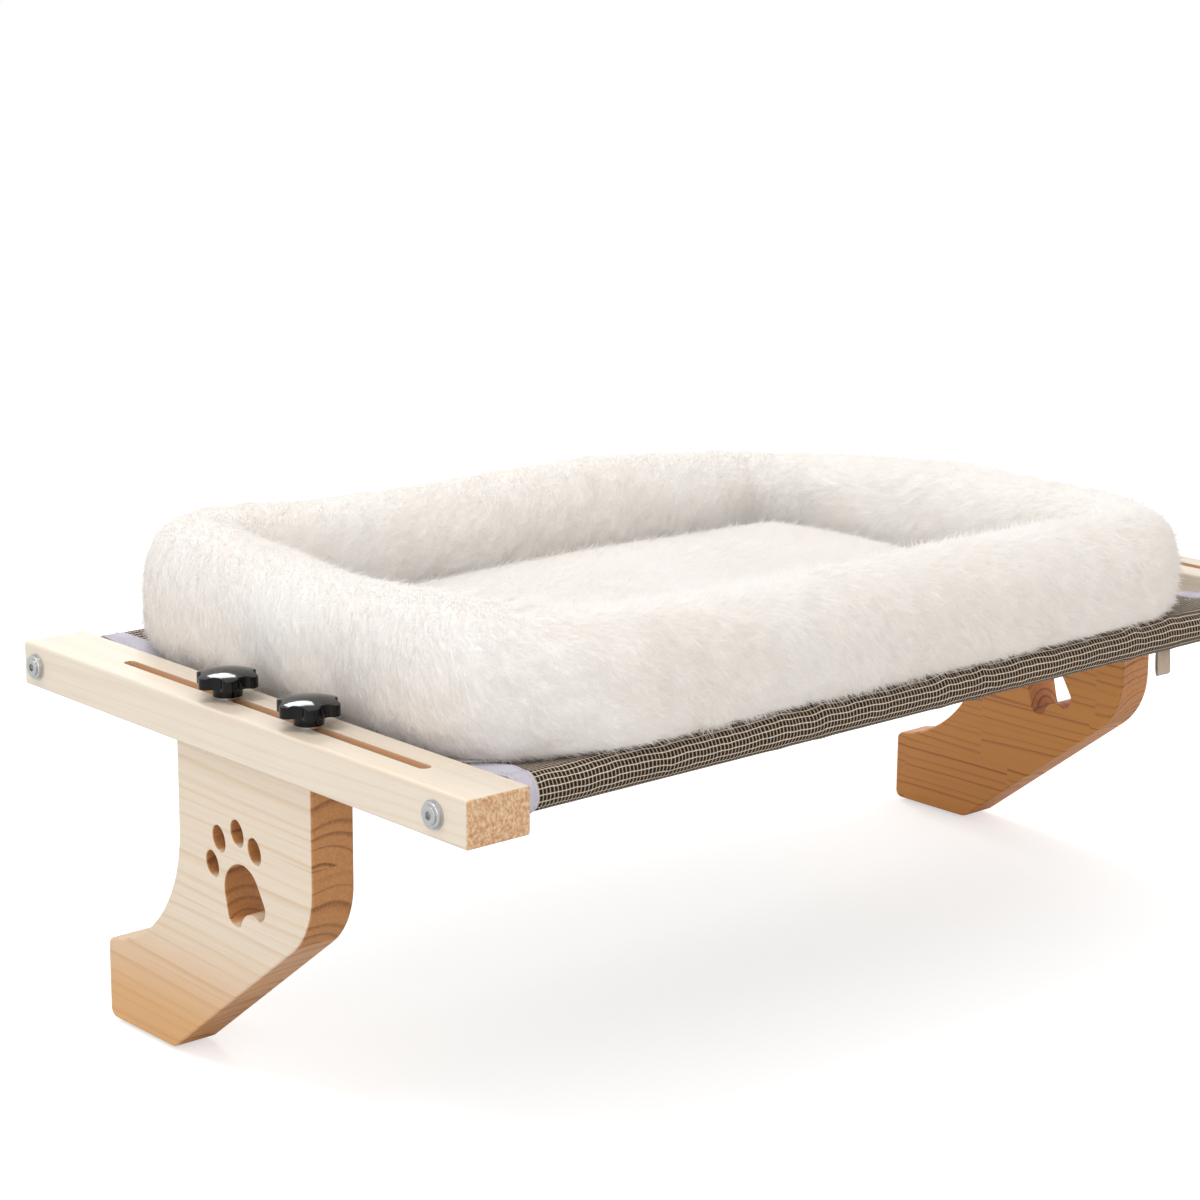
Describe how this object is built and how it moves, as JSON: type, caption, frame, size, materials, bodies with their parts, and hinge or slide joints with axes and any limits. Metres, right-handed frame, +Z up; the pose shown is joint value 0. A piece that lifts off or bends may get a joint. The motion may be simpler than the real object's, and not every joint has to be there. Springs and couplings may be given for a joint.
{
  "type": "window-sill cat bed",
  "caption": "Sill-mounted pet perch: slotted wooden rails on hook brackets with star knobs, a mesh sling on cross rods and a plush bolster bed.",
  "frame": {"origin": "where the front top edge of the sill or board goes, midway between the two hooks and level with the rails' undersides", "axes": "+X along the sill to the right as seen from the room, +Y over the sill towards the wall, +Z up"},
  "size_m": [0.6712, 0.396, 0.26],
  "materials": {
    "rail_wood": "clear matt varnish on pine",
    "bracket_wood": "clear matt varnish on glued pine panel",
    "rod_steel": "grey powder coat",
    "plug_steel": "plain",
    "bolt_zinc": "bright zinc plate",
    "insert_brass": "plain",
    "sling_mesh": "coated open-weave mesh",
    "binding_tape": "woven tape",
    "tab_cloth": "woven tape",
    "knob_plastic": "gloss moulded",
    "bed_plush": "short plush fur",
    "bed_cloth": "non-slip cloth"
  },
  "bodies": {
    "frame": {"left_rail": "rail_wood", "right_rail": "rail_wood", "front_rod": "rod_steel", "rear_rod": "rod_steel", "front_rod_plugs": "plug_steel", "rear_rod_plugs": "plug_steel", "left_frame_bolts": "bolt_zinc", "right_frame_bolts": "bolt_zinc", "left_frame_washers": "bolt_zinc", "right_frame_washers": "bolt_zinc", "sling": "sling_mesh", "left_sling_binding": "binding_tape", "right_sling_binding": "binding_tape", "sling_tab": "tab_cloth"},
    "left_bracket": {"left_bracket": "bracket_wood", "left_bracket_inserts": "insert_brass"},
    "left_front_washer": {"left_front_knob_washer": "bolt_zinc"},
    "left_front_knob": {"left_front_knob": "knob_plastic", "left_front_stud": "bolt_zinc"},
    "left_rear_washer": {"left_rear_knob_washer": "bolt_zinc"},
    "left_rear_knob": {"left_rear_knob": "knob_plastic", "left_rear_stud": "bolt_zinc"},
    "right_bracket": {"right_bracket": "bracket_wood", "right_bracket_inserts": "insert_brass"},
    "right_front_washer": {"right_front_knob_washer": "bolt_zinc"},
    "right_front_knob": {"right_front_knob": "knob_plastic", "right_front_stud": "bolt_zinc"},
    "right_rear_washer": {"right_rear_knob_washer": "bolt_zinc"},
    "right_rear_knob": {"right_rear_knob": "knob_plastic", "right_rear_stud": "bolt_zinc"},
    "bed": {"bed_bolster": "bed_plush", "bed_pad": "bed_plush", "bed_underside": "bed_cloth"}
  },
  "joints": [
    {"name": "left_bracket_slide", "type": "slide", "parent": "frame", "child": "left_bracket", "axis": [0, 1, 0], "range_m": [-0.091, 0.09]},
    {"name": "left_front_knob_lift", "type": "slide", "parent": "left_bracket", "child": "left_front_washer", "axis": [0, 0, 1], "range_m": [0, 0.003]},
    {"name": "left_front_knob_turn", "type": "hinge", "parent": "left_front_washer", "child": "left_front_knob", "pos_m": [-0.313, -0.099, 0.0252], "axis": [0, 0, 1], "range_deg": [0, 1080]},
    {"name": "left_rear_knob_lift", "type": "slide", "parent": "left_bracket", "child": "left_rear_washer", "axis": [0, 0, 1], "range_m": [0, 0.003]},
    {"name": "left_rear_knob_turn", "type": "hinge", "parent": "left_rear_washer", "child": "left_rear_knob", "pos_m": [-0.313, -0.029, 0.0252], "axis": [0, 0, 1], "range_deg": [0, 1080]},
    {"name": "right_bracket_slide", "type": "slide", "parent": "frame", "child": "right_bracket", "axis": [0, 1, 0], "range_m": [-0.091, 0.09]},
    {"name": "right_front_knob_lift", "type": "slide", "parent": "right_bracket", "child": "right_front_washer", "axis": [0, 0, 1], "range_m": [0, 0.003]},
    {"name": "right_front_knob_turn", "type": "hinge", "parent": "right_front_washer", "child": "right_front_knob", "pos_m": [0.313, -0.099, 0.0252], "axis": [0, 0, 1], "range_deg": [0, 1080]},
    {"name": "right_rear_knob_lift", "type": "slide", "parent": "right_bracket", "child": "right_rear_washer", "axis": [0, 0, 1], "range_m": [0, 0.003]},
    {"name": "right_rear_knob_turn", "type": "hinge", "parent": "right_rear_washer", "child": "right_rear_knob", "pos_m": [0.313, -0.029, 0.0252], "axis": [0, 0, 1], "range_deg": [0, 1080]},
    {"name": "bed_lift", "type": "slide", "parent": "frame", "child": "bed", "axis": [0, 0, 1], "range_m": [0, 0.15]}
  ],
  "couplings": [
    {"joint": "left_front_knob_turn", "follows": "left_front_knob_lift", "rad_per_m": 6283.2},
    {"joint": "left_rear_knob_turn", "follows": "left_rear_knob_lift", "rad_per_m": 6283.2},
    {"joint": "right_front_knob_turn", "follows": "right_front_knob_lift", "rad_per_m": 6283.2},
    {"joint": "right_rear_knob_turn", "follows": "right_rear_knob_lift", "rad_per_m": 6283.2}
  ]
}
